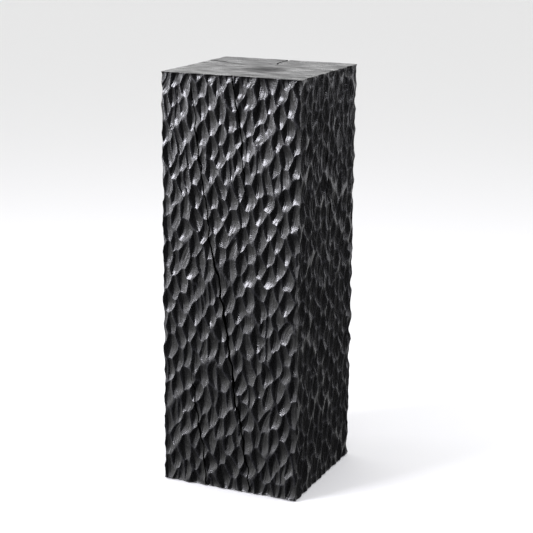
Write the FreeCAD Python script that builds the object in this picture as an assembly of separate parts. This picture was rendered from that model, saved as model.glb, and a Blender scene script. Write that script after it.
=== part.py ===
"""Carved timber display plinth: one squared block on four recessed screw feet.

Millimetres, +Z up. The origin is the middle of the footprint on the floor,
the front faces -Y. Every foot is drawn wound fully in, its travel is downwards.
"""
import FreeCAD, Part

import math
import os

# Block of timber
SIDE = 300.0  # square plan, over the crests of the carving
HEIGHT = 850.0  # floor to display surface
FLOOR_GAP = 3.0  # the sawn underside stays this far off the floor
ARRIS = 1.0  # chamfer that keeps the bottom edges from splintering

# Feet in the block
FOOT_INSET = 45.0  # middle of a foot from the two faces beside it
POCKET_CLEARANCE = 3.0  # radial, round the foot
HEX_CLEARANCE = 0.5  # over the hexagon when the foot is wound fully in

# Felt pad under each foot
FELT_R = 18.0
FELT_THICK = 3.0
FELT_PROUD = 1.5  # what stands out of the foot's recess
FELT_CLEARANCE = 0.3

# Moulded foot
FOOT_WALL = 1.7  # rim round the felt
FOOT_THICK = 6.0
FOOT_RIM_FILLET = 1.5
HUB_WALL = 3.5  # outside the corners of the hexagon that bears on the hub
HUB_RISE = 4.5  # above the disc

# Screw stem
THREAD_R = 4.0  # M8, drawn as a plain cylinder
HEX_FLATS = 13.0
HEX_THICK = 5.5
JOURNAL_R = 3.0
RIVET_LIP = 2.5  # outside the journal
RIVET_THICK = 1.5
RUN_CLEARANCE = 0.05  # radial, of the thread and of the journal
RIVET_CLEARANCE = 0.7  # radial, of the riveted end in the foot
END_PLAY = 0.1  # above the riveted end
FELT_TO_RIVET = 0.4  # below it
STEM_REACH = 6.0  # past the top of the insert when wound in
STEM_TIP_CHAMFER = 1.0

# Threaded insert in the block
INSERT_WALL = 3.0
INSERT_LONG = 20.0
FLANGE_LIP = 2.5  # outside the insert's body
FLANGE_THICK = 2.0
INSERT_CLEARANCE = 0.05
WELL_CLEARANCE = 1.0  # of the bore above the insert, round the stem
WELL_SPARE = 4.0  # of that bore, past the tip of the stem

# Sizes and places that follow
RIM_TOP = FELT_PROUD + FOOT_THICK
HUB_TOP = RIM_TOP + HUB_RISE  # thrust face
POCKET_TOP = HUB_TOP + HEX_THICK + HEX_CLEARANCE
INSERT_TOP = POCKET_TOP + INSERT_LONG
STEM_TOP = INSERT_TOP + STEM_REACH
RIVET_LOW = FELT_THICK + FELT_TO_RIVET
RIVET_TOP = RIVET_LOW + RIVET_THICK
FOOT_R = FELT_R + FELT_CLEARANCE + FOOT_WALL
POCKET_R = FOOT_R + POCKET_CLEARANCE
HEX_R = HEX_FLATS / math.sqrt(3)
HUB_R = HEX_R + HUB_WALL
RIVET_R = JOURNAL_R + RIVET_LIP
INSERT_R = THREAD_R + INSERT_WALL
FLANGE_R = INSERT_R + FLANGE_LIP
FOOT_PLACES = [
    (sx * (SIDE / 2 - FOOT_INSET), sy * (SIDE / 2 - FOOT_INSET))
    for sx, sy in ((-1, -1), (1, -1), (1, 1), (-1, 1))
]


def cylinder(radius, low, high):
    """An upright cylinder on the Z axis between two heights."""
    return Part.makeCylinder(radius, high - low, FreeCAD.Vector(0, 0, low))


def hexagon(radius, low, high):
    """An upright hexagonal prism on the Z axis, sized to its corners."""
    turns = [math.radians(60 * k) for k in range(7)]
    ring = [FreeCAD.Vector(radius * math.cos(t), radius * math.sin(t), low) for t in turns]
    return Part.Face(Part.makePolygon(ring)).extrude(FreeCAD.Vector(0, 0, high - low))


def edges_at(shape, height):
    """The edges of a shape that lie flat at a height."""
    flat = [e for e in shape.Edges if e.BoundBox.ZLength < 1e-6]
    return [e for e in flat if abs(e.BoundBox.ZMin - height) < 1e-6]


def carved_block():
    """The squared timber, with a pocket, an insert seat and a stem well for each foot."""
    corner = FreeCAD.Vector(-SIDE / 2, -SIDE / 2, FLOOR_GAP)
    block = Part.makeBox(SIDE, SIDE, HEIGHT - FLOOR_GAP, corner)
    block = block.makeChamfer(ARRIS, edges_at(block, FLOOR_GAP))
    flange_top = POCKET_TOP + FLANGE_THICK
    bore = cylinder(POCKET_R, FLOOR_GAP - 1, POCKET_TOP)
    bore = bore.fuse(cylinder(FLANGE_R + INSERT_CLEARANCE, POCKET_TOP - 1, flange_top))
    bore = bore.fuse(cylinder(INSERT_R + INSERT_CLEARANCE, POCKET_TOP - 1, INSERT_TOP))
    bore = bore.fuse(cylinder(THREAD_R + WELL_CLEARANCE, POCKET_TOP - 1, STEM_TOP + WELL_SPARE))
    for x, y in FOOT_PLACES:
        block = block.cut(bore.translated(FreeCAD.Vector(x, y, 0)))
    return block


def threaded_insert():
    """A flanged insert, screwed up into the block from the pocket."""
    insert = cylinder(INSERT_R, POCKET_TOP, INSERT_TOP)
    insert = insert.fuse(cylinder(FLANGE_R, POCKET_TOP, POCKET_TOP + FLANGE_THICK))
    return insert.cut(cylinder(THREAD_R + RUN_CLEARANCE, POCKET_TOP - 1, INSERT_TOP + 1)).removeSplitter()


def levelling_stem():
    """Screw, spanner hexagon, journal and riveted end, all one turned piece."""
    thread = cylinder(THREAD_R, HUB_TOP, STEM_TOP)
    thread = thread.makeChamfer(STEM_TIP_CHAMFER, edges_at(thread, STEM_TOP))
    stem = thread.fuse(hexagon(HEX_R, HUB_TOP, HUB_TOP + HEX_THICK))
    stem = stem.fuse(cylinder(JOURNAL_R, RIVET_LOW, HUB_TOP + 1))
    return stem.fuse(cylinder(RIVET_R, RIVET_LOW, RIVET_TOP)).removeSplitter()


def levelling_foot():
    """The moulded disc and hub that the stem turns in, hollowed below for the felt."""
    below = FELT_PROUD - 1
    disc = cylinder(FOOT_R, FELT_PROUD, RIM_TOP)
    disc = disc.makeFillet(FOOT_RIM_FILLET, edges_at(disc, RIM_TOP))
    foot = disc.fuse(cylinder(HUB_R, FELT_PROUD, HUB_TOP))
    foot = foot.cut(cylinder(FELT_R + FELT_CLEARANCE, below, FELT_THICK))
    foot = foot.cut(cylinder(RIVET_R + RIVET_CLEARANCE, below, RIVET_TOP + END_PLAY))
    return foot.cut(cylinder(JOURNAL_R + RUN_CLEARANCE, below, HUB_TOP + 1)).removeSplitter()


def felt_pad():
    """A felt disc, glued into the foot's recess."""
    return cylinder(FELT_R, 0, FELT_THICK)


def main():
    """Build every piece and write one file for each."""
    os.makedirs("parts", exist_ok=True)
    carved_block().exportStep("parts/carved_block.step")
    foot_pieces = {
        "threaded_insert": threaded_insert(),
        "levelling_stem": levelling_stem(),
        "levelling_foot": levelling_foot(),
        "felt_pad": felt_pad(),
    }
    for number, (x, y) in enumerate(FOOT_PLACES, start=1):
        for name, piece in foot_pieces.items():
            placed = piece.translated(FreeCAD.Vector(x, y, 0))
            placed.exportStep(f"parts/{name}_{number}.step")


main()
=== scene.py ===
"""Looks of the carved timber display plinth.

One squared timber, cut all over its four sides with a gouge, stained black and
lacquered satin, with a sawn end-grain top, drying checks, and four screw feet
with felt pads in pockets underneath. Metres, +Z up, front face towards -Y.
"""

import logging
import math
from collections.abc import Callable
from dataclasses import dataclass
from enum import Enum

import bmesh
import bpy
import numpy as np
from mathutils import Matrix, Vector


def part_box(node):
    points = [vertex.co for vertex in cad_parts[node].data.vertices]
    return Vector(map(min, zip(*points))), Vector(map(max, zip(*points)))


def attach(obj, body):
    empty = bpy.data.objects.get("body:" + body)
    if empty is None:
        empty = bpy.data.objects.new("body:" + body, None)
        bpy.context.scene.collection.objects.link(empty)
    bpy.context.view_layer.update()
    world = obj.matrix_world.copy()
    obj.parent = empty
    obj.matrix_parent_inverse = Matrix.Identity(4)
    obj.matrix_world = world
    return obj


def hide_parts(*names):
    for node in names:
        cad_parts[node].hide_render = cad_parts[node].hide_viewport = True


LOG = logging.getLogger("plinth")
MM = 0.001
FEET = range(1, 5)
WAVE_PERIOD = 0.314
"""Width of one band of a wave texture whose scale is 1."""

Tree = bpy.types.NodeTree
Socket = bpy.types.NodeSocket
Piece = bpy.types.Object
Outline = tuple[tuple[float, float], ...]
"""Heights and radii of a turned shape, in millimetres."""
Profile = Callable[[np.ndarray], np.ndarray]
"""Radius at each angle, in millimetres."""

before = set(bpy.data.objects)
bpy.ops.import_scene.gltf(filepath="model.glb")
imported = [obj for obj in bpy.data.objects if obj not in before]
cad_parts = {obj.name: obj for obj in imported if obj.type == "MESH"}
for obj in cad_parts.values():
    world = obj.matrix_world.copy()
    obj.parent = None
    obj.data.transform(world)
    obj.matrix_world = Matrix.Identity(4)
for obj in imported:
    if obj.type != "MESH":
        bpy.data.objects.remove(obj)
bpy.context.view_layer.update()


# Shared helpers


def linear(code: str) -> tuple[float, float, float, float]:
    """Turn an sRGB hex colour into the linear colour that a shader takes.

    Args:
        code: six hex digits after a hash sign, such as "#1c1c1f".

    Returns:
        Linear red, green and blue, and an alpha of 1.
    """
    channels = [int(code[i : i + 2], 16) / 255 for i in (1, 3, 5)]
    straight = [c / 12.92 if c <= 0.04045 else ((c + 0.055) / 1.055) ** 2.4 for c in channels]
    return (*straight, 1.0)


def per_metre(width_mm: float) -> float:
    """Scale of a texture whose features are to be this many millimetres wide."""
    return 1.0 / (width_mm * MM)


def mesh_object(name: str, points: np.ndarray, faces: list[tuple[int, ...]]) -> Piece:
    """Make a mesh object from points and faces and put it in the scene.

    Args:
        name: the piece's name.
        points: one row of x, y, z for each vertex, in metres.
        faces: vertex numbers of each face, anticlockwise seen from outside.

    Returns:
        The new object, at the origin.
    """
    mesh = bpy.data.meshes.new(name)
    mesh.from_pydata(np.asarray(points).tolist(), [], faces)
    mesh.validate()
    piece = bpy.data.objects.new(name, mesh)
    bpy.context.scene.collection.objects.link(piece)
    return piece


def plain(outline: Outline) -> list[tuple[float, Profile]]:
    """Turn heights and radii into the rows of a round piece."""
    return [(z, lambda angle, r=r: 0 * angle + r) for z, r in outline]


def turned(name: str, rows: list[tuple[float, Profile]], steps: int, ring: bool = False) -> Piece:
    """Make a turned piece about the Z axis from rows of points, in millimetres.

    Args:
        name: the piece's name.
        rows: each row's height, and its radius as a function of the angle.
        steps: points round each row.
        ring: True joins the last row to the first, for a piece with a hole through it.

    Returns:
        The closed piece.
    """
    angle = np.arange(steps) * 2 * math.pi / steps
    radius = np.array([r(angle) for _, r in rows])
    height = np.array([np.full(steps, z) for z, _ in rows])
    points = np.stack((radius * np.cos(angle), radius * np.sin(angle), height), 2).reshape(-1, 3)
    number = np.arange(len(points)).reshape(len(rows), steps)
    upper = np.roll(number, -1, 0) if ring else number[1:]
    lower = number if ring else number[:-1]
    quads = (lower, np.roll(lower, -1, 1), np.roll(upper, -1, 1), upper)
    faces = list(zip(*(q.ravel().tolist() for q in quads)))
    if not ring:
        faces += [tuple(number[0, ::-1].tolist()), tuple(number[-1].tolist())]
    return mesh_object(name, points * MM, faces)


def cut(piece: Piece, tool: Piece) -> None:
    """Cut a tool out of a piece for good, and remove the tool.

    Args:
        piece: a closed piece.
        tool: a closed piece too.
    """
    change = piece.modifiers.new("cut", "BOOLEAN")
    change.operation, change.solver, change.object = "DIFFERENCE", "MANIFOLD", tool
    graph = bpy.context.evaluated_depsgraph_get()
    result = bpy.data.meshes.new_from_object(piece.evaluated_get(graph), depsgraph=graph)
    piece.modifiers.remove(change)
    piece.data = result
    bpy.data.objects.remove(tool)


def drop_chips(piece: Piece) -> None:
    """Remove the chips that cuts have left loose.

    Args:
        piece: the piece, of which only the largest connected part stays.
    """
    work = bmesh.new()
    work.from_mesh(piece.data)
    left, groups = set(work.verts), []
    while left:
        group, front = [], [left.pop()]
        while front:
            group.append(front.pop())
            near = {edge.other_vert(group[-1]) for edge in group[-1].link_edges} & left
            left -= near
            front.extend(near)
        groups.append(group)
    groups.sort(key=len)
    bmesh.ops.delete(work, geom=[point for group in groups[:-1] for point in group], context="VERTS")
    work.to_mesh(piece.data)
    work.free()


# Shader nodes


def add_node(tree: Tree, kind: str, values: dict | None = None) -> bpy.types.Node:
    """Add a shader node.

    Args:
        tree: the node tree to add it to.
        kind: the node's type name, without the "ShaderNode" in front.
        values: what to set, by the name or number of an input or the name of a
            property. Another node's output socket is linked to the input.

    Returns:
        The new node.
    """
    node = tree.nodes.new(f"ShaderNode{kind}")
    for key, value in (values or {}).items():
        if isinstance(value, Socket):
            tree.links.new(value, node.inputs[key])
        elif isinstance(key, int) or key in node.inputs:
            node.inputs[key].default_value = value
        else:
            setattr(node, key, value)
    return node


def noise(tree: Tree, place: Socket, wide: float, **values: float) -> bpy.types.Node:
    """Add a noise whose blots are so many millimetres wide, with more input values by name."""
    return add_node(tree, "TexNoise", {"Vector": place, "Scale": per_metre(wide), **values})


def waves(tree: Tree, place: Socket, wide: float, values: dict) -> Socket:
    """Value of bands or rings that are so many millimetres apart."""
    scale = WAVE_PERIOD * per_metre(wide)
    return add_node(tree, "TexWave", {"Vector": place, "Scale": scale, **values}).outputs["Fac"]


def stretch(tree: Tree, place: Socket, by: tuple[float, float, float]) -> Socket:
    """Position multiplied by a factor along each axis."""
    return add_node(tree, "VectorMath", {"operation": "MULTIPLY", 0: place, 1: by}).outputs[0]


def maths(tree: Tree, operation: str, *terms: Socket | float) -> Socket:
    """Result of one operation on sockets and numbers, given in the order of its inputs."""
    return add_node(tree, "Math", {"operation": operation, **dict(enumerate(terms))}).outputs[0]


def remap(tree: Tree, value: Socket, source: tuple[float, float], target: tuple[float, float]) -> Socket:
    """Map a value from one range to another, held at both ends.

    Args:
        tree: the node tree.
        value: the value's socket.
        source: start and end of the value's own range.
        target: what the start and the end become.

    Returns:
        The result's socket.
    """
    names = ("From Min", "From Max", "To Min", "To Max")
    values = dict(zip(names, (*source, *target), strict=True))
    return add_node(tree, "MapRange", {"Value": value, **values}).outputs[0]


def bump(tree: Tree, height: Socket, deep: float, strength: float = 1.0) -> Socket:
    """Normal of a surface whose relief is so many millimetres deep."""
    values = {"Height": height, "Distance": deep * MM, "Strength": strength}
    return add_node(tree, "Bump", values).outputs[0]


def blend(tree: Tree, share: Socket, first: str, second: str) -> Socket:
    """Colour that goes from one sRGB hex colour to another as the share goes from 0 to 1."""
    values = {"data_type": "RGBA", 0: share, 6: linear(first), 7: linear(second)}
    return add_node(tree, "Mix", values).outputs[2]


# Finishes


@dataclass(frozen=True)
class Finish:
    """A surface finish. A subclass says in surface() what its material is made of."""

    name: str = "finish"

    def material(self) -> bpy.types.Material:
        """Build the material, or return the one already built under this name."""
        found = bpy.data.materials.get(self.name)
        if found:
            return found
        made = bpy.data.materials.new(self.name)
        made.use_nodes = True
        tree = made.node_tree
        tree.nodes.clear()
        add_node(tree, "OutputMaterial", {"Surface": self.surface(tree).outputs["BSDF"]})
        return made

    def surface(self, tree: Tree) -> bpy.types.Node:
        """Add the finish's nodes to a tree and return its last shader."""
        raise NotImplementedError


@dataclass(frozen=True)
class GougedStainedTimber(Finish):
    """Black stained oak, as the gouge left it, under a satin lacquer.

    The stain takes nearly all colour away, so the eye reads the surface by its
    gloss: a long soft highlight down one wall of each stroke, broken into fine
    lines by the fibres along the grain, and beads of light on the ripple where
    the tool chattered out of the cut.
    """

    name: str = "gouged_black_stained_timber"
    stain: str = "#070708"
    # Paler colour along the crests: stain rubbed thin there, and partly a painted highlight on the ridges.
    crest_rubbed_and_highlit: str = "#1b1b1e"
    fibre: tuple[float, float] = (4.6, 50.0)
    pore: tuple[float, float] = (0.7, 9.0)
    pore_share: float = 0.14
    ripple: float = 3.2
    ripple_patch: float = 14.0
    ripple_from: tuple[float, float] = (0.56, 0.7)
    ripple_share: float = 0.2
    relief: float = 1.5
    pore_range: tuple[float, float] = (0.3, 0.7)
    gloss: tuple[float, float] = (0.18, 0.3)
    lacquer: float = 0.2

    def grain(self, tree: Tree, place: Socket, wide: float, long: float) -> Socket:
        """Noise drawn out along the stroke.

        Args:
            tree: the material's node tree.
            place: position across and along the stroke.
            wide: width of a fibre in millimetres.
            long: length of a fibre in millimetres.

        Returns:
            The noise's value socket.
        """
        drawn = stretch(tree, place, (1.0, wide / long, 1.0))
        return noise(tree, drawn, wide, Detail=1.0, Roughness=0.4).outputs["Fac"]

    def surface(self, tree: Tree) -> bpy.types.Node:
        """Add the nodes of the stained timber and return its shader."""
        place = add_node(tree, "Attribute", {"attribute_name": "stroke"}).outputs["Vector"]
        crest = add_node(tree, "Attribute", {"attribute_name": "crest"}).outputs["Fac"]
        fibre = self.grain(tree, place, *self.fibre)
        pore = self.grain(tree, place, *self.pore)
        patch = noise(tree, place, self.ripple_patch, Detail=1.0).outputs["Fac"]
        chatter = waves(tree, place, self.ripple, {"bands_direction": "Y", "Distortion": 1.5})
        where = remap(tree, patch, self.ripple_from, (0.0, self.ripple_share))
        height = maths(tree, "ADD", fibre, maths(tree, "MULTIPLY", chatter, where))
        finer = maths(tree, "MULTIPLY_ADD", pore, self.pore_share, height)
        values = {
            # Base colour goes paler towards the crests: rubbed stain, and partly a painted highlight on the
            # ridges.
            "Base Color": blend(tree, crest, self.stain, self.crest_rubbed_and_highlit),
            "Roughness": remap(tree, pore, self.pore_range, self.gloss),
            "Normal": bump(tree, finer, self.relief),
            "IOR": 1.5,
            "Coat Weight": self.lacquer,
            "Coat Roughness": 0.2,
        }
        return add_node(tree, "BsdfPrincipled", values)


@dataclass(frozen=True)
class SawnStainedEndGrain(Finish):
    """End grain, sawn, planed and lacquered with the sides.

    The year rings stand a little proud and the saw's marks cross them, so the low
    light breaks into fine lines. The stain pools dark round the heart. The heart
    and the runs from it are in metres, all other sizes in millimetres.
    """

    name: str = "sawn_stained_end_grain"
    stain: str = "#141416"
    dark: str = "#060607"
    heart: tuple[float, float, float] = (0.030, -0.014, 0.0)
    heart_run: tuple[float, float] = (0.012, 0.05)
    heart_dull: float = 0.3
    ring: float = 3.4
    ring_share: float = 0.5
    wander: float = 55.0
    wander_far: tuple[float, float, float] = (0.022, 0.022, 0.0)
    saw: float = 3.4
    saw_drawn: tuple[float, float, float] = (0.12, 1.0, 1.0)
    planed: float = 24.0
    planed_drawn: tuple[float, float, float] = (0.4, 1.0, 1.0)
    planed_share: float = 5.5
    relief: float = 0.8
    planed_range: tuple[float, float] = (0.36, 0.62)
    gloss: tuple[float, float] = (0.5, 0.24)

    def surface(self, tree: Tree) -> bpy.types.Node:
        """Add the nodes of the end grain and return its shader."""
        place = add_node(tree, "TexCoord").outputs["Object"]
        flat = stretch(tree, place, (1.0, 1.0, 0.0))
        values = {"operation": "SUBTRACT", 0: flat, 1: self.heart}
        out = add_node(tree, "VectorMath", values).outputs[0]
        wander = noise(tree, out, self.wander, Detail=3.0).outputs["Color"]
        values = {"operation": "MULTIPLY_ADD", 0: wander, 1: self.wander_far, 2: out}
        pushed = add_node(tree, "VectorMath", values).outputs[0]
        rings = waves(tree, pushed, self.ring, {"wave_type": "RINGS", "rings_direction": "Z"})
        far = add_node(tree, "VectorMath", {"operation": "LENGTH", 0: pushed}).outputs["Value"]
        heartwood = remap(tree, far, self.heart_run, (1.0, 0.0))
        drawn = stretch(tree, flat, self.saw_drawn)
        saw = noise(tree, drawn, self.saw, Detail=4.0, Roughness=0.65).outputs["Fac"]
        ridges = maths(tree, "MULTIPLY_ADD", rings, self.ring_share, saw)
        drawn = stretch(tree, flat, self.planed_drawn)
        planed = noise(tree, drawn, self.planed, Detail=5.0, Roughness=0.62).outputs["Fac"]
        height = maths(tree, "MULTIPLY_ADD", planed, self.planed_share, ridges)
        sunk = remap(tree, planed, self.planed_range, self.gloss)
        values = {
            "Base Color": blend(tree, heartwood, self.stain, self.dark),
            "Roughness": maths(tree, "MULTIPLY_ADD", heartwood, self.heart_dull, sunk),
            "Normal": bump(tree, height, self.relief),
            "IOR": 1.5,
        }
        return add_node(tree, "BsdfPrincipled", values)


@dataclass(frozen=True)
class SplitRawTimber(Finish):
    """Bare timber inside a drying check, torn open along the fibres.

    Stain has run in but no lacquer, so it is dull, and the eye sees a black line.
    """

    name: str = "split_raw_timber"
    colour: str = "#050505"
    splinter: float = 1.2
    relief: float = 0.4

    def surface(self, tree: Tree) -> bpy.types.Node:
        """Add the nodes of the split timber and return its shader."""
        place = add_node(tree, "TexCoord").outputs["Object"]
        torn = noise(tree, place, self.splinter, Detail=3.0).outputs["Fac"]
        values = {
            "Base Color": linear(self.colour),
            "Roughness": 0.95,
            "Specular IOR Level": 0.15,
            "Normal": bump(tree, torn, self.relief),
        }
        return add_node(tree, "BsdfPrincipled", values)


@dataclass(frozen=True)
class ZincPlatedTurnedSteel(Finish):
    """Bar steel, turned and hexagon-milled, then bright zinc plated.

    The eye reads it as cold metal with fine tool rings round it, slightly
    clouded where the plating grew unevenly.
    """

    name: str = "zinc_plated_turned_steel"
    colour: str = "#cdd0d3"
    ring: float = 0.35
    cloud: float = 2.5
    relief: float = 0.012
    gloss: tuple[float, float] = (0.24, 0.42)

    def surface(self, tree: Tree) -> bpy.types.Node:
        """Add the nodes of the plated steel and return its shader."""
        place = add_node(tree, "TexCoord").outputs["Object"]
        rings = waves(tree, place, self.ring, {"bands_direction": "Z", "Distortion": 0.6})
        clouds = noise(tree, place, self.cloud, Detail=3.0).outputs["Fac"]
        values = {
            "Base Color": linear(self.colour),
            "Metallic": 1.0,
            "Roughness": remap(tree, clouds, (0.0, 1.0), self.gloss),
            "Normal": bump(tree, rings, self.relief),
        }
        return add_node(tree, "BsdfPrincipled", values)


@dataclass(frozen=True)
class MouldedNylon(Finish):
    """Black nylon as it leaves a spark-eroded mould.

    A fine even pebble spreads the light, so the foot looks soft and dry.
    """

    name: str = "spark_textured_moulded_nylon"
    colour: str = "#1f1f20"
    pebble: float = 0.35
    relief: float = 0.03
    gloss: tuple[float, float] = (0.42, 0.6)

    def surface(self, tree: Tree) -> bpy.types.Node:
        """Add the nodes of the moulded nylon and return its shader."""
        place = add_node(tree, "TexCoord").outputs["Object"]
        pebbles = noise(tree, place, self.pebble, Detail=2.0).outputs["Fac"]
        values = {
            "Base Color": linear(self.colour),
            "IOR": 1.53,
            "Roughness": remap(tree, pebbles, (0.0, 1.0), self.gloss),
            "Normal": bump(tree, pebbles, self.relief, 0.6),
        }
        return add_node(tree, "BsdfPrincipled", values)


@dataclass(frozen=True)
class PressedWoolFelt(Finish):
    """Grey wool felt, pressed and die-cut.

    Loose fibres lie every way, so it is dull, flecked light and dark, and pale
    round the edge where they catch the light.
    """

    name: str = "pressed_wool_felt"
    light: str = "#67625c"
    dark: str = "#2f2c29"
    fibre: float = 0.25
    fleck: float = 1.6
    relief: float = 0.15

    def surface(self, tree: Tree) -> bpy.types.Node:
        """Add the nodes of the felt and return its shader."""
        place = add_node(tree, "TexCoord").outputs["Object"]
        flecks = noise(tree, place, self.fleck, Detail=4.0, Distortion=2.0).outputs["Fac"]
        fibres = noise(tree, place, self.fibre, Detail=2.0, Distortion=3.0).outputs["Fac"]
        values = {
            "Base Color": blend(tree, flecks, self.dark, self.light),
            "Roughness": 0.95,
            "Sheen Weight": 0.3,
            "Sheen Roughness": 0.5,
            "Normal": bump(tree, fibres, self.relief, 0.8),
        }
        return add_node(tree, "BsdfPrincipled", values)


@dataclass(frozen=True)
class PalePaper(Finish):
    """Plain pale studio paper under the object."""

    name: str = "pale_studio_paper"
    colour: str = "#ececec"

    def surface(self, tree: Tree) -> bpy.types.Node:
        """Add the nodes of the paper and return its shader."""
        return add_node(tree, "BsdfPrincipled", {"Base Color": linear(self.colour), "Roughness": 0.9})


# Carving


@dataclass(frozen=True)
class Strokes:
    """Gouge strokes on one flat side, an array entry for each, in millimetres.

    A stroke enters gently at its upper end, is deepest a little below its
    middle and leaves steeply, as the tool is levered out. Pairs of values are
    for its left wall and its right one.
    """

    across: np.ndarray
    up: np.ndarray
    lean: np.ndarray
    bow: np.ndarray
    half: np.ndarray
    deep: np.ndarray
    slope: np.ndarray
    steep: tuple[float, float] = (1.8, 1.0)
    keel: tuple[float, float] = (4.5, 11.0)
    seat: float = -0.18
    entry: float = 1.7
    leave: float = 1.8
    taper: float = 0.7
    taper_end: float = 1.5
    reach: float = 1.2

    def local(self, pick: np.ndarray, u: np.ndarray, v: np.ndarray) -> tuple[np.ndarray, np.ndarray]:
        """Place points along and across chosen strokes.

        Args:
            pick: which strokes, as numbers that broadcast with the points.
            u: distance across the side.
            v: height.

        Returns:
            Distance along the stroke, up from its middle, and across it.
        """
        du, dv = u - self.across[pick], v - self.up[pick]
        c, s = np.cos(self.lean[pick]), np.sin(self.lean[pick])
        along = dv * c + du * s
        return along, du * c - dv * s - self.bow[pick] * along**2

    def cut(self, pick: np.ndarray, u: np.ndarray, v: np.ndarray) -> np.ndarray:
        """Depth that chosen strokes cut at points, negative where they miss.

        Args:
            pick: which strokes, as numbers that broadcast with the points.
            u: distance across the side.
            v: height.

        Returns:
            Depth below the face of the squared timber.
        """
        along, across = self.local(pick, u, v)
        x = along / self.half[pick]
        low = x < self.seat
        run = np.where(low, (self.seat - x) / (1 + self.seat), (x - self.seat) / (1 - self.seat))
        fall = run ** np.where(low, self.leave, self.entry)
        narrowing = 1 + self.taper * np.minimum(fall, self.taper_end)
        wall = self.slope[pick] * narrowing * np.where(across < 0, *self.steep)
        keel = np.where(across < 0, *self.keel)
        return self.deep[pick] * (1 - fall) - wall * (np.hypot(across, keel) - keel)

    def deepest(self, u: np.ndarray, v: np.ndarray, batch: int = 512) -> tuple[np.ndarray, ...]:
        """Find which stroke cuts deepest at each point, and by how much.

        Args:
            u: distance across the side, one value for each point.
            v: height, one value for each point.
            batch: points to work out at once.

        Returns:
            Number of the deepest stroke, its depth, and how much deeper it is than the next.
        """
        owner, best = np.zeros(len(u), int), np.zeros(len(u))
        lead = np.zeros(len(u))
        reach = self.reach * self.half.max()
        for first in range(0, len(u), batch):
            part = slice(first, first + batch)
            low, high = v[part].min() - reach, v[part].max() + reach
            near = np.nonzero((self.up > low) & (self.up < high))[0]
            depths = self.cut(near[:, None], u[None, part], v[None, part])
            order = np.argpartition(-depths, 1, axis=0)[:2]
            pair = np.take_along_axis(depths, order, axis=0)
            owner[part] = near[np.where(pair[0] >= pair[1], order[0], order[1])]
            best[part] = pair.max(axis=0)
            lead[part] = abs(pair[0] - pair[1])
        return owner, best, lead


@dataclass(frozen=True)
class GougeWork:
    """How the carver works down a side, in millimetres.

    Strokes stand in columns that sway together. Each spread is the standard
    deviation of a random draw, and twins is the share of the marks that are
    two narrow strokes side by side.
    """

    column: float = 20.0
    column_spread: float = 1.8
    aside_spread: float = 1.6
    pitch_top: float = 47.0
    pitch_low: float = 53.0
    pitch_spread: float = 0.11
    overlap: float = 0.63
    overlap_spread: float = 0.07
    deep: float = 7.4
    deep_spread: float = 0.11
    slope: float = 0.55
    slope_spread: float = 0.1
    sway: float = 5.0
    sway_runs: tuple[tuple[float, float], ...] = ((47.0, 90.0), (29.0, -70.0), (83.0, 45.0))
    lean: float = math.radians(5.0)
    lean_spread: float = math.radians(8.0)
    lean_over: float = 5.0
    bow_spread: float = 0.005
    twins: float = 0.12
    twin_aside: float = 0.27
    twin_drop: float = 0.3
    twin_slope: float = 1.5
    twin_deep: float = 0.86

    def sway_at(self, u: float, v: float, phase: np.ndarray) -> float:
        """How far the columns of strokes wander sideways at a point.

        Args:
            u: distance across the side.
            v: height.
            phase: start of each of the three waves, in radians.

        Returns:
            The distance sideways.
        """
        runs = zip(self.sway_runs, phase, strict=True)
        return self.sway * sum(math.sin(v / up + u / aside + p) for (up, aside), p in runs) / 2

    def strokes(self, width: float, height: float, seed: int) -> Strokes:
        """Lay out the strokes of one side.

        Args:
            width: width of the side.
            height: height of the side.
            seed: start of the random draws, another one for each side.

        Returns:
            The strokes, from below the bottom edge to above the top edge.
        """
        rng = np.random.default_rng(seed)
        columns = round(width / self.column)
        phase = rng.uniform(0, 2 * math.pi, 3)
        rows = []
        for c in range(-1, columns + 1):
            base = (c + 0.5) * width / columns + rng.normal(0, self.column_spread)
            v = -self.pitch_low * (0.5 + 0.5 * (c % 2))
            while v < height + self.pitch_top:
                share = min(max(v / height, 0), 1)
                pitch = self.pitch_low + (self.pitch_top - self.pitch_low) * share
                up = v + rng.normal(0, self.pitch_spread) * pitch
                shift = self.sway_at(base, up, phase)
                below, above = (self.sway_at(base, up + s * self.lean_over, phase) for s in (-1, 1))
                lean = math.atan((below - above) / (2 * self.lean_over))
                size = rng.normal(1, self.deep_spread)
                across = base + shift + rng.normal(0, self.aside_spread)
                rows += self.marks(rng, across, up, -lean, pitch, size)
                v += pitch
        return Strokes(*np.array(rows).T)

    def marks(
        self, rng: np.random.Generator, u: float, v: float, lean: float, pitch: float, size: float
    ) -> list[tuple[float, ...]]:
        """One full stroke, or now and then a pair of narrow ones side by side.

        Args:
            rng: the random draws.
            u: middle of the mark across the side.
            v: middle of the mark's height.
            lean: how far the column leans there, in radians.
            pitch: distance to the next mark of the column.
            size: the mark's depth against the usual.

        Returns:
            A row for each stroke, in the order of the fields of Strokes.
        """
        half = pitch * self.overlap * rng.normal(1, self.overlap_spread)
        narrow = rng.random() < self.twins
        offsets = (-self.twin_aside, self.twin_aside) if narrow else (0.0,)
        rows = []
        for offset in offsets:
            turn = lean + self.lean + rng.normal(0, self.lean_spread)
            bow = rng.normal(0, self.bow_spread)
            slope = self.slope * (self.twin_slope if narrow else 1.0) * rng.normal(1, self.slope_spread)
            deep = self.deep * size * (self.twin_deep if narrow else 1.0)
            place = (u + offset * self.column, v + (offset * pitch * self.twin_drop))
            rows.append((*place, turn, bow, half, deep, slope))
        return rows


class Side(Enum):
    """The four sides, each with the direction across it and its outward normal."""

    FRONT = ((1, 0), (0, -1))
    RIGHT = ((0, 1), (1, 0))
    BACK = ((-1, 0), (0, 1))
    LEFT = ((0, -1), (-1, 0))


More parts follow.
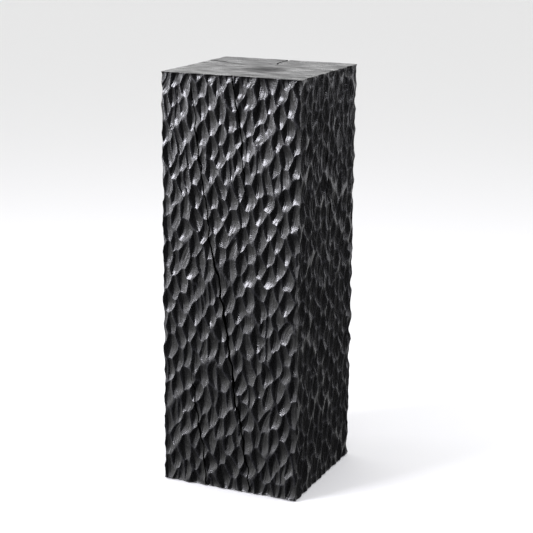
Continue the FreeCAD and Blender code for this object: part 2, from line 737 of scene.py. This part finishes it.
@dataclass
class CarvedSide:
    """One carved side as a grid of points, in millimetres on the flat of the side.

    The crests are planed off a little. The carving is shallower near the top and
    bottom edges, and evens out towards one depth near the upright edges.
    """

    side: Side
    width: float
    low: float
    high: float
    strokes: Strokes
    crest: float = 0.3
    rim_round: float = 1.2
    rim_run: float = 4.0
    rim_keep: float = 0.5
    foot_keep: float = 0.4
    arris_depth: float = 3.4
    arris_calm: float = 0.5
    arris_run: float = 9.0
    halvings: int = 14

    def scoop(self, u: np.ndarray, v: np.ndarray) -> np.ndarray:
        """Depth of the finished surface.

        Args:
            u: distance across the side, one value for each point.
            v: height, one value for each point.

        Returns:
            Depth below the face of the squared timber.
        """
        best = self.strokes.deepest(u, v)[1]
        ease = 1 - self.rim_keep * np.exp(-np.maximum(self.high - v, 0) / self.rim_run)
        ease *= 1 - self.foot_keep * np.exp(-np.maximum(v - self.low, 0) / self.rim_run)
        beside = np.maximum(np.minimum(u, self.width - u), 0)
        calm = self.arris_calm * np.exp(-((beside / self.arris_run) ** 2))
        best = best + (self.arris_depth - best) * calm
        edge = np.maximum(v - (self.high - self.rim_round), 0)
        rounded = self.rim_round - np.sqrt(np.maximum(self.rim_round**2 - edge**2, 0))
        return np.maximum(np.maximum(best - self.crest, 0) * ease, rounded)

    def crossing(self, u: np.ndarray, v: np.ndarray, axis: int) -> tuple[np.ndarray, np.ndarray]:
        """Where the crests cross the grid's lines of one direction.

        Args:
            u: the grid's distances across, a row for each height.
            v: the grid's heights.
            axis: 0 for lines that run up, 1 for lines that run across.

        Returns:
            For each grid point, the signed share of a step to the nearest crossing along
            that axis, or infinity where there is none within half a step.
        """
        owner = self.strokes.deepest(u.ravel(), v.ravel())[0].reshape(u.shape)
        first = tuple(slice(None, -1) if a == axis else slice(None) for a in (0, 1))
        second = tuple(slice(1, None) if a == axis else slice(None) for a in (0, 1))
        a, b = owner[first], owner[second]
        at = np.nonzero(a != b)
        a, b = a[at], b[at]
        u0, v0 = u[first][at], v[first][at]
        u1, v1 = u[second][at], v[second][at]
        low, high = np.zeros(len(a)), np.ones(len(a))
        for _ in range(self.halvings):
            mid = (low + high) / 2
            um, vm = u0 + (u1 - u0) * mid, v0 + (v1 - v0) * mid
            ahead = self.strokes.cut(a, um, vm) > self.strokes.cut(b, um, vm)
            low, high = np.where(ahead, mid, low), np.where(ahead, high, mid)
        share = (low + high) / 2
        move = np.full(u.shape, np.inf)
        for near, step in ((share < 0.5, share), (share >= 0.5, share - 1)):
            spot = [at[0][near], at[1][near]]
            if step is not share:
                spot[axis] = spot[axis] + 1
            old = move[tuple(spot)]
            new = step[near]
            move[tuple(spot)] = np.where(abs(new) < abs(old), new, old)
        return move

    def snap(self, u: np.ndarray, v: np.ndarray, rim_rows: int) -> tuple[np.ndarray, np.ndarray]:
        """Slide grid points onto the crests that pass near them, so that crests are clean lines.

        Args:
            u: the grid's distances across, a row for each height.
            v: the grid's heights.
            rim_rows: rows at both ends whose points keep their height.

        Returns:
            The moved grid.
        """
        across, along = self.crossing(u, v, 1), self.crossing(u, v, 0)
        across[:, [0, -1]] = np.inf
        along[:, [0, -1]] = np.inf
        along[:rim_rows] = np.inf
        along[-rim_rows:] = np.inf
        sideways = abs(across) <= abs(along)
        step_u = np.where(np.isfinite(across) & sideways, across, 0)
        step_v = np.where(np.isfinite(along) & ~sideways, along, 0)
        gap_u = np.where(step_u > 0, np.roll(u, -1, 1) - u, u - np.roll(u, 1, 1))
        gap_v = np.where(step_v > 0, np.roll(v, -1, 0) - v, v - np.roll(v, 1, 0))
        tilt_u = np.where(step_v > 0, np.roll(u, -1, 0) - u, u - np.roll(u, 1, 0))
        return u + step_u * gap_u + step_v * tilt_u, v + step_v * gap_v

    def place(self, u: np.ndarray, v: np.ndarray, depth: np.ndarray) -> np.ndarray:
        """Turn points on the side into points in space.

        Args:
            u: distance across the side.
            v: height.
            depth: depth below the face.

        Returns:
            The points in a last axis of x, y and z, still in millimetres.
        """
        along, out = (np.array((*d, 0.0)) for d in self.side.value)
        flat = (u - self.width / 2)[..., None] * along + (self.width / 2 - depth)[..., None] * out
        return flat + v[..., None] * np.array((0.0, 0.0, 1.0))


@dataclass(frozen=True)
class Check:
    """A drying check, a wedge-shaped split that follows the grain, in millimetres.

    Each way-point has the share across the face, the share of the way up (or back,
    on the top) and the width there. No side means the sawn top. A check as wide as
    full has its whole depth, and narrower ones are shallower.
    """

    side: Side | None
    way: tuple[tuple[float, float, float], ...]
    deep: float = 24.0
    full: float = 2.0
    shallower: float = 0.6
    proud: float = 4.0
    step: float = 5.0
    waver: float = 0.9
    waver_runs: tuple[float, ...] = (5.0, 9.0, 17.0, 31.0)
    lip_least: float = 0.15
    lip_waver: float = 0.12
    lip_run: float = 7.0

    def build(self, width: float, low: float, high: float, seed: int) -> Piece:
        """Make the wedge that is cut out of the timber.

        Args:
            width: width of the timber.
            low: height of its bottom.
            high: height of its top.
            seed: start of the random draws for the waver.

        Returns:
            The wedge as a closed piece.
        """
        rng = np.random.default_rng(seed)
        way = np.array(self.way) * ((width, high - low, 1) if self.side else (width, width, 1))
        run = np.concatenate(([0], np.cumsum(np.hypot(*np.diff(way[:, :2], axis=0).T))))
        at = np.linspace(0, run[-1], max(round(run[-1] / self.step), 4))
        across, up, lips = (np.interp(at, run, way[:, i]) for i in range(3))
        phase = rng.uniform(0, 2 * math.pi, len(self.waver_runs))
        sway = sum(np.sin(at / run + p) for run, p in zip(self.waver_runs, phase, strict=True))
        heading = np.stack((np.gradient(across), np.gradient(up)), 1)
        heading /= np.linalg.norm(heading, axis=1, keepdims=True)
        aside = np.stack((heading[:, 1], -heading[:, 0]), 1)
        centre = np.stack((across, up), 1) + aside * (self.waver * sway)[:, None]
        lips = lips * (1 + self.lip_waver * np.sin(at / self.lip_run + phase[2]))
        lips = np.maximum(lips, self.lip_least)
        depth = self.deep * np.minimum(lips / self.full, 1.0) ** self.shallower
        spread = (lips / 2 * (1 + self.proud / depth))[:, None] * aside
        corners = ((centre - spread, -self.proud), (centre + spread, -self.proud), (centre, depth))
        rows = [self.place(spot, down, width, low, high) for spot, down in corners]
        points = np.stack(rows, 1).reshape(-1, 3)
        faces = [(2, 1, 0), tuple(3 * (len(at) - 1) + i for i in (0, 1, 2))]
        for k in range(len(at) - 1):
            for i in range(3):
                j = (i + 1) % 3
                faces.append((3 * k + j, 3 * k + 3 + j, 3 * k + 3 + i, 3 * k + i))
        wedge = mesh_object("check", points * MM, faces)
        wedge.data.attributes.new("split", "INT", "FACE").data.foreach_set("value", [1] * len(faces))
        return wedge

    def place(
        self, spot: np.ndarray, depth: np.ndarray | float, width: float, low: float, high: float
    ) -> np.ndarray:
        """Turn positions on the face into points in space.

        Args:
            spot: a row of distance across and distance up (or back) for each point.
            depth: depth below the face.
            width: width of the timber.
            low: height of its bottom.
            high: height of its top.

        Returns:
            A row of x, y and z for each point, still in millimetres.
        """
        inward = np.broadcast_to(depth, len(spot))
        if self.side is None:
            return np.stack((spot[:, 0] - width / 2, spot[:, 1] - width / 2, high - inward), 1)
        along, out = (np.array((*d, 0.0)) for d in self.side.value)
        flat = (spot[:, :1] - width / 2) * along + (width / 2 - inward)[:, None] * out
        return flat + (low + spot[:, 1:]) * np.array((0.0, 0.0, 1.0))


@dataclass
class CarvedBlock:
    """The timber block: four carved sides, the sawn top, drying checks and foot pockets.

    Sizes are in millimetres. The crest mark, which makes the finish paler along the crests (rubbed stain,
    and partly a painted highlight on the ridges), fades over crest_run from a crest.
    """

    node: str = "carved_block"
    steps_across: int = 100
    step_up: float = 4.0
    rim_steps: tuple[float, ...] = (0.0, 0.4, 1.0, 2.0, 3.5, 5.5, 8.0)
    meeting_rounds: int = 24
    on_crest: float = 0.03
    crest_run: float = 0.5
    level_within: float = 0.1
    crease: float = math.radians(21)
    stroke_apart: float = 37.0
    side_apart: float = 1000.0
    seeds: tuple[int, ...] = (11, 23, 37, 41)
    works: tuple[GougeWork, ...] = (
        GougeWork(),
        GougeWork(column=27.0, slope=0.42, twins=0.05),
        GougeWork(column=22.0, slope=0.5),
        GougeWork(column=25.0, slope=0.45),
    )
    checks: tuple[Check, ...] = (
        Check(
            Side.FRONT,
            (
                (0.205, 1.01, 1.0), (0.251, 0.897, 3.4), (0.276, 0.805, 4.2), (0.331, 0.704, 4.2),
                (0.353, 0.602, 5.0), (0.423, 0.529, 5.8), (0.448, 0.464, 6.4), (0.474, 0.40, 6.6),
                (0.508, 0.327, 6.2), (0.535, 0.272, 6.4), (0.54, 0.232, 5.4), (0.57, 0.187, 4.6),
                (0.60, 0.129, 4.6), (0.669, -0.01, 4.2),
            ),
        ),
        Check(
            Side.FRONT,
            (
                (0.222, 0.29, 0.5), (0.232, 0.247, 3.2), (0.254, 0.19, 4.4), (0.283, 0.126, 4.6),
                (0.345, -0.01, 4.2),
            ),
        ),
        Check(
            Side.FRONT,
            (
                (0.495, 1.01, 2.6), (0.53, 0.98, 4.0), (0.574, 0.868, 3.6), (0.592, 0.793, 3.0),
                (0.62, 0.71, 0.4),
            ),
        ),
        Check(
            Side.RIGHT,
            ((0.41, 0.91, 0.4), (0.45, 0.83, 3.6), (0.50, 0.74, 4.4), (0.55, 0.66, 3.4), (0.59, 0.58, 0.4)),
        ),
        Check(
            Side.BACK,
            ((0.51, 1.01, 3.4), (0.50, 0.93, 3.6), (0.47, 0.84, 3.0), (0.46, 0.72, 0.4)),
        ),
        Check(
            Side.BACK,
            ((0.30, 0.46, 0.4), (0.33, 0.36, 3.6), (0.37, 0.22, 4.6), (0.42, -0.01, 4.2)),
        ),
        Check(
            Side.LEFT,
            ((0.265, 1.01, 3.4), (0.28, 0.9, 4.0), (0.33, 0.77, 4.6), (0.36, 0.62, 3.6), (0.41, 0.5, 0.4)),
        ),
        Check(
            Side.LEFT,
            ((0.70, 0.52, 0.4), (0.68, 0.42, 3.2), (0.71, 0.3, 3.8), (0.75, 0.17, 0.4)),
        ),
        Check(
            None,
            (
                (-0.01, 0.735, 9.0), (0.028, 0.733, 8.0), (0.09, 0.71, 5.0), (0.25, 0.63, 1.6),
                (0.36, 0.57, 0.3),
            ),
            deep=18.0,
        ),
        Check(
            None,
            ((0.488, 1.01, 6.4), (0.49, 0.93, 6.0), (0.505, 0.78, 3.6), (0.54, 0.66, 0.3)),
            deep=18.0,
        ),
        Check(
            None,
            ((0.43, 0.49, 0.3), (0.50, 0.47, 2.0), (0.56, 0.455, 3.0), (0.592, 0.455, 1.6)),
            deep=12.0,
        ),
        Check(
            None,
            ((0.605, 0.45, 1.6), (0.65, 0.44, 3.0), (0.71, 0.42, 2.2), (0.79, 0.41, 0.3)),
            deep=12.0,
        ),
        Check(None, ((0.60, 0.47, 1.4), (0.61, 0.51, 2.4), (0.635, 0.55, 0.3)), deep=10.0),
    )
    pocket: Outline = (
        (-5, 23), (18, 23), (18, 9.55), (20, 9.55), (20, 7.05), (38, 7.05), (38, 5), (48, 5),
    )
    pocket_steps: int = 96

    def heights(self, low: float, high: float) -> np.ndarray:
        """Heights of the grid's rows, closer together at both rims.

        Args:
            low: height of the timber's bottom.
            high: height of its top.

        Returns:
            The heights, going up.
        """
        rim = np.array(self.rim_steps)
        start, end = low + rim[-1], high - rim[-1]
        middle = np.linspace(start, end, round((end - start) / self.step_up) + 1)[1:-1]
        return np.concatenate((low + rim, middle, high - rim[::-1]))

    def arrises(self, sides: list[CarvedSide], z: np.ndarray) -> list[tuple[np.ndarray, np.ndarray]]:
        """Where each side meets the next one at each height.

        Args:
            sides: the four sides in order round the block.
            z: heights of the rows.

        Returns:
            For each side, the distances across it at which it starts and ends.
        """
        ends = [np.full(len(z), 0.5) for _ in sides]
        starts = [np.full(len(z), 0.5) for _ in sides]
        for _ in range(self.meeting_rounds):
            for k, side in enumerate(sides):
                following = (k + 1) % len(sides)
                own = side.scoop(side.width - ends[k], z)
                other = sides[following].scoop(starts[following], z)
                starts[following] = 0.5 * starts[following] + 0.5 * own
                ends[k] = 0.5 * ends[k] + 0.5 * other
        return [(starts[k], side.width - ends[k]) for k, side in enumerate(sides)]

    def build(self) -> Piece:
        """Carve the block.

        Returns:
            The carved timber as one closed piece, with its materials in their slots.
        """
        corner, far = (np.array(c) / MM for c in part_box(self.node))
        width, low, high = far[0] - corner[0], corner[2], far[2]
        z = self.heights(low, high)
        sides = [
            CarvedSide(side, width, low, high, work.strokes(width, high, seed))
            for side, work, seed in zip(Side, self.works, self.seeds, strict=True)
        ]
        ring = len(sides) * self.steps_across
        points = np.zeros((len(z), ring, 3))
        lead = np.zeros((len(z), ring))
        share = np.linspace(0, 1, self.steps_across + 1)
        for k, (side, (start, end)) in enumerate(zip(sides, self.arrises(sides, z), strict=True)):
            u = start[:, None] + (end - start)[:, None] * share
            v = np.repeat(z[:, None], len(share), 1)
            u, v = side.snap(u, v, len(self.rim_steps))
            depth = side.scoop(u.ravel(), v.ravel()).reshape(u.shape)
            part = slice(k * self.steps_across, (k + 1) * self.steps_across)
            points[:, part] = side.place(u, v, depth)[:, :-1]
            lead[:, part] = side.strokes.deepest(u.ravel(), v.ravel())[2].reshape(u.shape)[:, :-1]
        faces = self.skin(lead < self.on_crest)
        block = mesh_object("carved_timber", points.reshape(-1, 3) * MM, faces)
        # The crest mark makes the finish paler along the crests, partly as a painted highlight.
        crest = np.exp(-lead.ravel() / self.crest_run).astype(np.float32)
        block.data.attributes.new("crest", "FLOAT", "POINT").data.foreach_set("value", crest)
        self.mark_strokes(block.data, sides)
        self.rework(block, width, low, high)
        return block

    def rework(self, block: Piece, width: float, low: float, high: float) -> None:
        """Cut the foot pockets and the drying checks out of the carved timber.

        Args:
            block: the carved timber, before its materials are in their slots.
            width: width of the timber.
            low: height of its bottom.
            high: height of its top.
        """
        for finish in (GougedStainedTimber(), SawnStainedEndGrain(), SplitRawTimber()):
            block.data.materials.append(finish.material())
        for n in FEET:
            tool = turned("pocket", plain(self.pocket), self.pocket_steps)
            tool.location = foot_place(n)
            cut(block, tool)
        for seed, check in enumerate(self.checks):
            cut(block, check.build(width, low, high, seed))
        drop_chips(block)

    def skin(self, marked: np.ndarray) -> list[tuple[int, ...]]:
        """Join the grid into faces, splitting a face where a crest runs from corner to corner.

        Args:
            marked: True for each grid point that lies on a crest.

        Returns:
            The faces of the sides and of both ends.
        """
        rows, ring = marked.shape
        number = np.arange(rows * ring).reshape(rows, ring)
        a, b = number[:-1], np.roll(number, -1, 1)[:-1]
        d, c = number[1:], np.roll(number, -1, 1)[1:]
        flat = marked.ravel()
        rising = flat[a] & flat[c] & ~(flat[b] & flat[d])
        falling = flat[b] & flat[d] & ~(flat[a] & flat[c])
        whole = ~(rising | falling)
        faces = list(zip(*(n[whole].tolist() for n in (a, b, c, d))))
        for pick, triangles in ((rising, ((a, b, c), (a, c, d))), (falling, ((a, b, d), (b, c, d)))):
            for three in triangles:
                faces += list(zip(*(n[pick].tolist() for n in three)))
        return [*faces, tuple(number[-1].tolist()), tuple(number[0, ::-1].tolist())]

    def dress(self, block: Piece) -> None:
        """Give each face its finish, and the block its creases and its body.

        Args:
            block: the carved timber.
        """
        mesh = block.data
        levels = (mesh.vertices[0].co.z, max(v.co.z for v in mesh.vertices))
        ends = [
            abs(p.normal.z) > 0.99
            and min(abs(p.center.z - level) for level in levels) < self.level_within * MM
            for p in mesh.polygons
        ]
        split = np.zeros(len(mesh.polygons), int)
        mesh.attributes["split"].data.foreach_get("value", split)
        finish = np.where(split > 0, 2, np.array(ends, int))
        mesh.polygons.foreach_set("material_index", finish.tolist())
        mesh.polygons.foreach_set("use_smooth", [True] * len(mesh.polygons))
        mesh.set_sharp_from_angle(angle=self.crease)
        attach(block, "plinth")
        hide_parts(self.node)

    def mark_strokes(self, mesh: bpy.types.Mesh, sides: list[CarvedSide]) -> None:
        """Store, for the finish, where each corner of a face lies in the stroke that cut it.

        Args:
            mesh: the carved timber's mesh, before any cuts.
            sides: its four sides.
        """
        vertex_of, sizes = np.zeros(len(mesh.loops), int), np.zeros(len(mesh.polygons), int)
        mesh.loops.foreach_get("vertex_index", vertex_of)
        mesh.polygons.foreach_get("loop_total", sizes)
        at = np.zeros(len(mesh.vertices) * 3)
        mesh.vertices.foreach_get("co", at)
        at = at.reshape(-1, 3) / MM
        face_of = np.repeat(np.arange(len(sizes)), sizes)
        middle = np.stack([np.bincount(face_of, at[vertex_of, i]) for i in range(3)], 1) / sizes[:, None]
        stroke = np.zeros((len(vertex_of), 3), np.float32)
        out = np.array([(*s.side.value[1], 0) for s in sides])
        facing = np.argmax(middle @ out.T, axis=1)
        for k, side in enumerate(sides):
            across = np.array((*side.side.value[0], 0))
            mine = facing == k
            owner = np.zeros(len(sizes), int)
            face_u = middle[mine] @ across + side.width / 2
            owner[mine] = side.strokes.deepest(face_u, middle[mine, 2])[0]
            pick = mine[face_of]
            corner = at[vertex_of[pick]]
            own = owner[face_of[pick]]
            along, aside = side.strokes.local(own, corner @ across + side.width / 2, corner[:, 2])
            apart = self.stroke_apart * own + self.side_apart * k
            stroke[pick] = np.stack((aside + apart, along, apart), 1) * MM
        mesh.attributes.new("stroke", "FLOAT_VECTOR", "CORNER").data.foreach_set("vector", stroke.ravel())


# Feet


def round_over(radius: float, top: float, size: float, count: int = 5) -> list[tuple[float, float]]:
    """Heights and radii of an edge rounded over at the top of a turned piece.

    Args:
        radius: the piece's full radius.
        top: height of the edge.
        size: radius of the rounding.
        count: points along it.

    Returns:
        Rows of height and radius, going up and in.
    """
    turns = [math.radians(90 * i / (count - 1)) for i in range(count)]
    return [(top - size + size * math.sin(t), radius - size + size * math.cos(t)) for t in turns]


def foot_place(number: int) -> tuple[float, float, float]:
    """Middle of a levelling foot of the CAD, at the height of the floor, in metres."""
    near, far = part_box(f"levelling_foot_{number}")
    return ((near.x + far.x) / 2, (near.y + far.y) / 2, 0)


@dataclass(frozen=True)
class LevellingFoot:
    """One screw foot: nylon foot, plated stem with its thread, and felt pad, in millimetres.

    The rim, shoulder and hollow are the foot's, the tail and nut the stem's, and
    under and over the pad's.
    """

    number: int
    steps: int = 144
    rim: Outline = ((1.5, 19.6), (1.9, 20.0), (6.0, 20.0))
    flutes: int = 36
    flute_deep: float = 0.45
    shoulder: Outline = (
        (6.8, 19.4), (7.3, 18.7), (7.5, 17.8), (7.5, 12.4), (7.7, 11.5), (8.2, 11.0),
    )
    hub: tuple[float, float, float] = (11.0, 12.0, 0.8)
    hollow: Outline = (
        (12.0, 3.4), (11.7, 3.08), (5.0, 3.08), (5.0, 6.0), (4.8, 6.2), (3.0, 6.2), (3.0, 18.1),
        (2.8, 18.3), (1.5, 18.3),
    )
    stem_steps: int = 96
    tail: Outline = (
        (3.4, 4.6), (3.6, 5.2), (3.9, 5.5), (4.4, 5.5), (4.8, 5.3), (4.9, 5.0), (4.9, 3.0), (12.0, 3.0),
    )
    nut: Outline = ((12.0, 6.4), (12.5, 7.6), (17.0, 7.6), (17.5, 6.4))
    hexagon: float = 13.0
    thread: float = 4.0
    thread_deep: float = 0.6
    thread_form: tuple[float, float] = (1.35, 0.175)
    thread_from: float = 18.0
    thread_fade: float = 1.2
    thread_rows: int = 210
    neck: tuple[float, float] = (17.5, 17.9)
    tip: tuple[float, float] = (44.0, 3.15)
    lead: float = 1.25
    felt: float = 18.0
    felt_seed: int = 60
    felt_waves: int = 12
    felt_ragged: float = 0.35
    under: Outline = ((0.0, 4.0), (0.0, 11.0), (0.04, 16.2), (0.25, 17.3), (0.7, 17.8), (1.5, 17.95))
    over: Outline = ((2.4, 17.9), (2.8, 17.6), (2.97, 17.0), (3.0, 12.0), (3.0, 4.0))

    def build(self) -> list[Piece]:
        """Build the foot's pieces where they stand.

        Returns:
            The moulded foot, the stem and the pad.
        """
        pieces = [self.foot(), self.stem(), self.pad()]
        for piece in pieces:
            piece.location = foot_place(self.number)
        return pieces

    def fluted(self, radius: float) -> Profile:
        """Radius of the gripping rim, with rounded flutes round it."""
        return lambda angle: radius - self.flute_deep * (0.5 + 0.5 * np.cos(self.flutes * angle)) ** 2

    def hexagonal(self, limit: float) -> Profile:
        """Radius of the spanner hexagon, with its corners turned down to a limit."""
        sixth = math.pi / 3
        return lambda angle: np.minimum(self.hexagon / 2 / np.cos(angle % sixth - sixth / 2), limit)

    def threaded(self, z: float) -> Profile:
        """Radius of the screw at a height.

        Args:
            z: the height.

        Returns:
            The radius at each angle, on a helix of the screw's lead.
        """

        def radius(angle: np.ndarray) -> np.ndarray:
            """Radius at the given angles."""
            turn = (z / self.lead - angle / (2 * math.pi)) % 1
            groove = np.clip(abs(2 * turn - 1) * self.thread_form[0] - self.thread_form[1], 0, 1)
            fade = min(1, max(0, (z - self.thread_from) / self.thread_fade))
            crown = min(self.thread, self.tip[1] + (self.tip[0] - z))
            return np.minimum(self.thread - self.thread_deep * groove * fade, crown)

        return radius

    def ragged(self, radius: float, phase: np.ndarray) -> Profile:
        """Radius of the felt, cut a little unevenly at its edge.

        Args:
            radius: the mean radius.
            phase: start of each wave round the edge, in radians.

        Returns:
            The radius at each angle.
        """
        amount = self.felt_ragged * (radius / self.felt) ** 6

        def edge(angle: np.ndarray) -> np.ndarray:
            """Radius at the given angles."""
            swings = sum(np.sin((7 + 5 * i) * angle + p) for i, p in enumerate(phase))
            return radius + amount * swings / len(phase)

        return edge

    def foot(self) -> Piece:
        """Make the moulded foot: fluted rim, sloping shoulder and hub, hollow under for the felt."""
        rim = [(z, self.fluted(r)) for z, r in self.rim]
        rows = rim + plain((*self.shoulder, *round_over(*self.hub), *self.hollow))
        return turned(f"nylon_foot_{self.number}", rows, self.steps, ring=True)

    def stem(self) -> Piece:
        """Make the stem: riveted tail, journal, hexagon, and the screw thread up to its tip.

        Returns:
            The stem as one closed piece.
        """
        nut = [(z, self.hexagonal(r)) for z, r in self.nut]
        low, start = self.neck
        screw = [(z, self.threaded(z)) for z in np.linspace(start, self.tip[0], self.thread_rows)]
        rows = plain(self.tail) + nut + plain(((low, self.thread),)) + screw
        return turned(f"screw_stem_{self.number}", rows, self.stem_steps)

    def pad(self) -> Piece:
        """Make the felt pad: a die-cut disc with a soft, slightly ragged edge.

        Returns:
            The pad as one closed piece.
        """
        rng = np.random.default_rng(self.felt_seed + self.number)
        phase = rng.uniform(0, 2 * math.pi, self.felt_waves)
        rows = [(z, self.ragged(r, phase)) for z, r in (*self.under, *self.over)]
        return turned(f"felt_disc_{self.number}", rows, self.steps)

    def dress(self, pieces: list[Piece]) -> None:
        """Give the pieces their finishes, their slots and the bodies they ride on.

        Args:
            pieces: the foot, the stem and the pad.
        """
        n = self.number
        foot, stem, pad = pieces
        for piece, finish, crease, body, node, slot in (
            (foot, MouldedNylon(), 40, f"foot_{n}", f"levelling_foot_{n}", "moulded_nylon"),
            (stem, ZincPlatedTurnedSteel(), 32, f"stem_{n}", f"levelling_stem_{n}", "zinc_plated_steel"),
            (pad, PressedWoolFelt(), 75, f"foot_{n}", f"felt_pad_{n}", "wool_felt"),
        ):
            piece.data.materials.append(finish.material())
            piece.data.polygons.foreach_set("use_smooth", [True] * len(piece.data.polygons))
            piece.data.set_sharp_from_angle(angle=math.radians(crease))
            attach(piece, body)
            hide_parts(node)
        insert = bpy.data.objects[f"threaded_insert_{n}"]
        insert.material_slots[0].link = "OBJECT"
        insert.material_slots[0].material = ZincPlatedTurnedSteel().material()


# Studio


@dataclass(frozen=True)
class Lamp:
    """One soft light, a rectangle that faces its aim, in metres.

    Its glow is its radiance, against 1 for a white card in full light.
    """

    name: str
    at: tuple[float, float, float]
    aim: tuple[float, float, float]
    wide: float
    tall: float
    glow: float
    colour: tuple[float, float, float] = (0.95, 0.945, 1.03)

    def build(self) -> None:
        """Hang the light."""
        data = bpy.data.lights.new(self.name, "AREA")
        data.shape, data.size, data.size_y = "RECTANGLE", self.wide, self.tall
        data.energy = self.glow * math.pi * self.wide * self.tall
        data.color = self.colour
        lamp = bpy.data.objects.new(self.name, data)
        bpy.context.scene.collection.objects.link(lamp)
        lamp.location = self.at
        way = Vector(self.aim) - Vector(self.at)
        lamp.rotation_euler = way.to_track_quat("-Z", "Y").to_euler()
        lamp.visible_camera = False


@dataclass(frozen=True)
class Studio:
    """Pale floor, soft lights, the room that the gloss shows, and the camera.

    The room goes from dim to bright as a ray turns towards bright_way. Pairs that
    end in _run say over which part of that turn, or of the height, a change goes.
    """

    camera_at: tuple[float, float, float] = (1.2075, -2.686, 1.2003)
    yaw: float = 23.94
    pitch: float = 14.48
    roll: float = 0.49
    lens: float = 99.4
    sensor: float = 36.0
    floor_half: float = 30.0
    lamps: tuple[Lamp, ...] = (
        Lamp("key", (-1.45, -1.9, 1.75), (0, 0, 0.55), 1.0, 0.8, 30.0),
        Lamp("strip", (-1.45, -1.9, 0.65), (0, 0, 0.65), 0.9, 1.2, 2.0),
        Lamp("rim", (-2.2, -0.45, 0.7), (0, 0, 0.6), 0.6, 1.4, 6.0),
        Lamp("kick", (1.25, 2.3, 0.45), (0.15, 0, 0.7), 1.0, 0.8, 0.7),
        Lamp("far side", (2.0, 0.5, 2.3), (0.1, 0, 0.45), 1.4, 1.0, 7.0),
    )
    bright_way: tuple[float, float, float] = (-1.0, 0.42, 0.0)
    bright_run: tuple[float, float] = (-0.4, 0.85)
    bright_power: float = 1.5
    levels: tuple[float, float] = (0.05, 2.3)
    fill: float = 1.2
    underside: float = 0.12
    underside_run: tuple[float, float] = (-0.62, -0.2)
    overhead: float = 0.7
    overhead_run: tuple[float, float] = (0.3, 1.0)

    def build(self) -> None:
        """Put up the floor, the lights, the surroundings and the camera."""
        h = self.floor_half
        floor = mesh_object("floor", [(-h, -h, 0), (h, -h, 0), (h, h, 0), (-h, h, 0)], [(0, 1, 2, 3)])
        floor.data.materials.append(PalePaper().material())
        floor.visible_glossy = floor.visible_shadow = False
        for lamp in self.lamps:
            lamp.build()
        self.surroundings()
        self.camera()
        bpy.context.scene.view_settings.view_transform = "Standard"

    def surroundings(self) -> None:
        """Fill with an even light, and give the gloss a room that is bright to the left to show.

        The gloss sees this room below the horizon too, in place of the floor.
        """
        world = bpy.data.worlds.new("studio")
        world.use_nodes = True
        tree = world.node_tree
        tree.nodes.clear()
        way = add_node(tree, "TexCoord").outputs["Generated"]
        aim = tuple(Vector(self.bright_way).normalized())
        values = {"operation": "DOT_PRODUCT", 0: way, 1: aim}
        towards = add_node(tree, "VectorMath", values).outputs["Value"]
        share = remap(tree, towards, self.bright_run, (0.0, 1.0))
        level = remap(tree, maths(tree, "POWER", share, self.bright_power), (0.0, 1.0), self.levels)
        up = add_node(tree, "SeparateXYZ", {0: way}).outputs["Z"]
        under = remap(tree, up, self.underside_run, (self.underside, 1.0))
        overhead = remap(tree, up, self.overhead_run, (1.0, self.overhead))
        lit = maths(tree, "MULTIPLY", maths(tree, "MULTIPLY", under, overhead), level)
        glossed = add_node(tree, "LightPath").outputs["Is Glossy Ray"]
        shown = add_node(tree, "Mix", {0: glossed, 2: self.fill, 3: lit}).outputs[0]
        shader = add_node(tree, "Background", {"Strength": shown}).outputs[0]
        add_node(tree, "OutputWorld", {"Surface": shader})
        bpy.context.scene.world = world

    def camera(self) -> None:
        """Set the camera up."""
        data = bpy.data.cameras.new("camera")
        data.lens = self.lens
        data.sensor_width = self.sensor
        camera = bpy.data.objects.new("camera", data)
        bpy.context.scene.collection.objects.link(camera)
        turn = Matrix.Rotation(math.radians(self.yaw), 4, "Z")
        tip = Matrix.Rotation(math.radians(90 - self.pitch), 4, "X")
        lean = Matrix.Rotation(math.radians(self.roll), 4, "Z")
        camera.matrix_world = Matrix.Translation(self.camera_at) @ turn @ tip @ lean
        bpy.context.scene.camera = camera


def main() -> None:
    """Build the piece and its surroundings, and report each."""
    Studio().build()
    LOG.info("studio up")
    block = CarvedBlock()
    piece = block.build()
    block.dress(piece)
    LOG.info("%s: %d faces", piece.name, len(piece.data.polygons))
    for number in FEET:
        foot = LevellingFoot(number)
        pieces = foot.build()
        foot.dress(pieces)
        LOG.info("foot %d: %s", number, ", ".join(p.name for p in pieces))


if __name__ == "__main__":
    logging.basicConfig(level=logging.INFO, format="%(name)s: %(message)s")
    main()
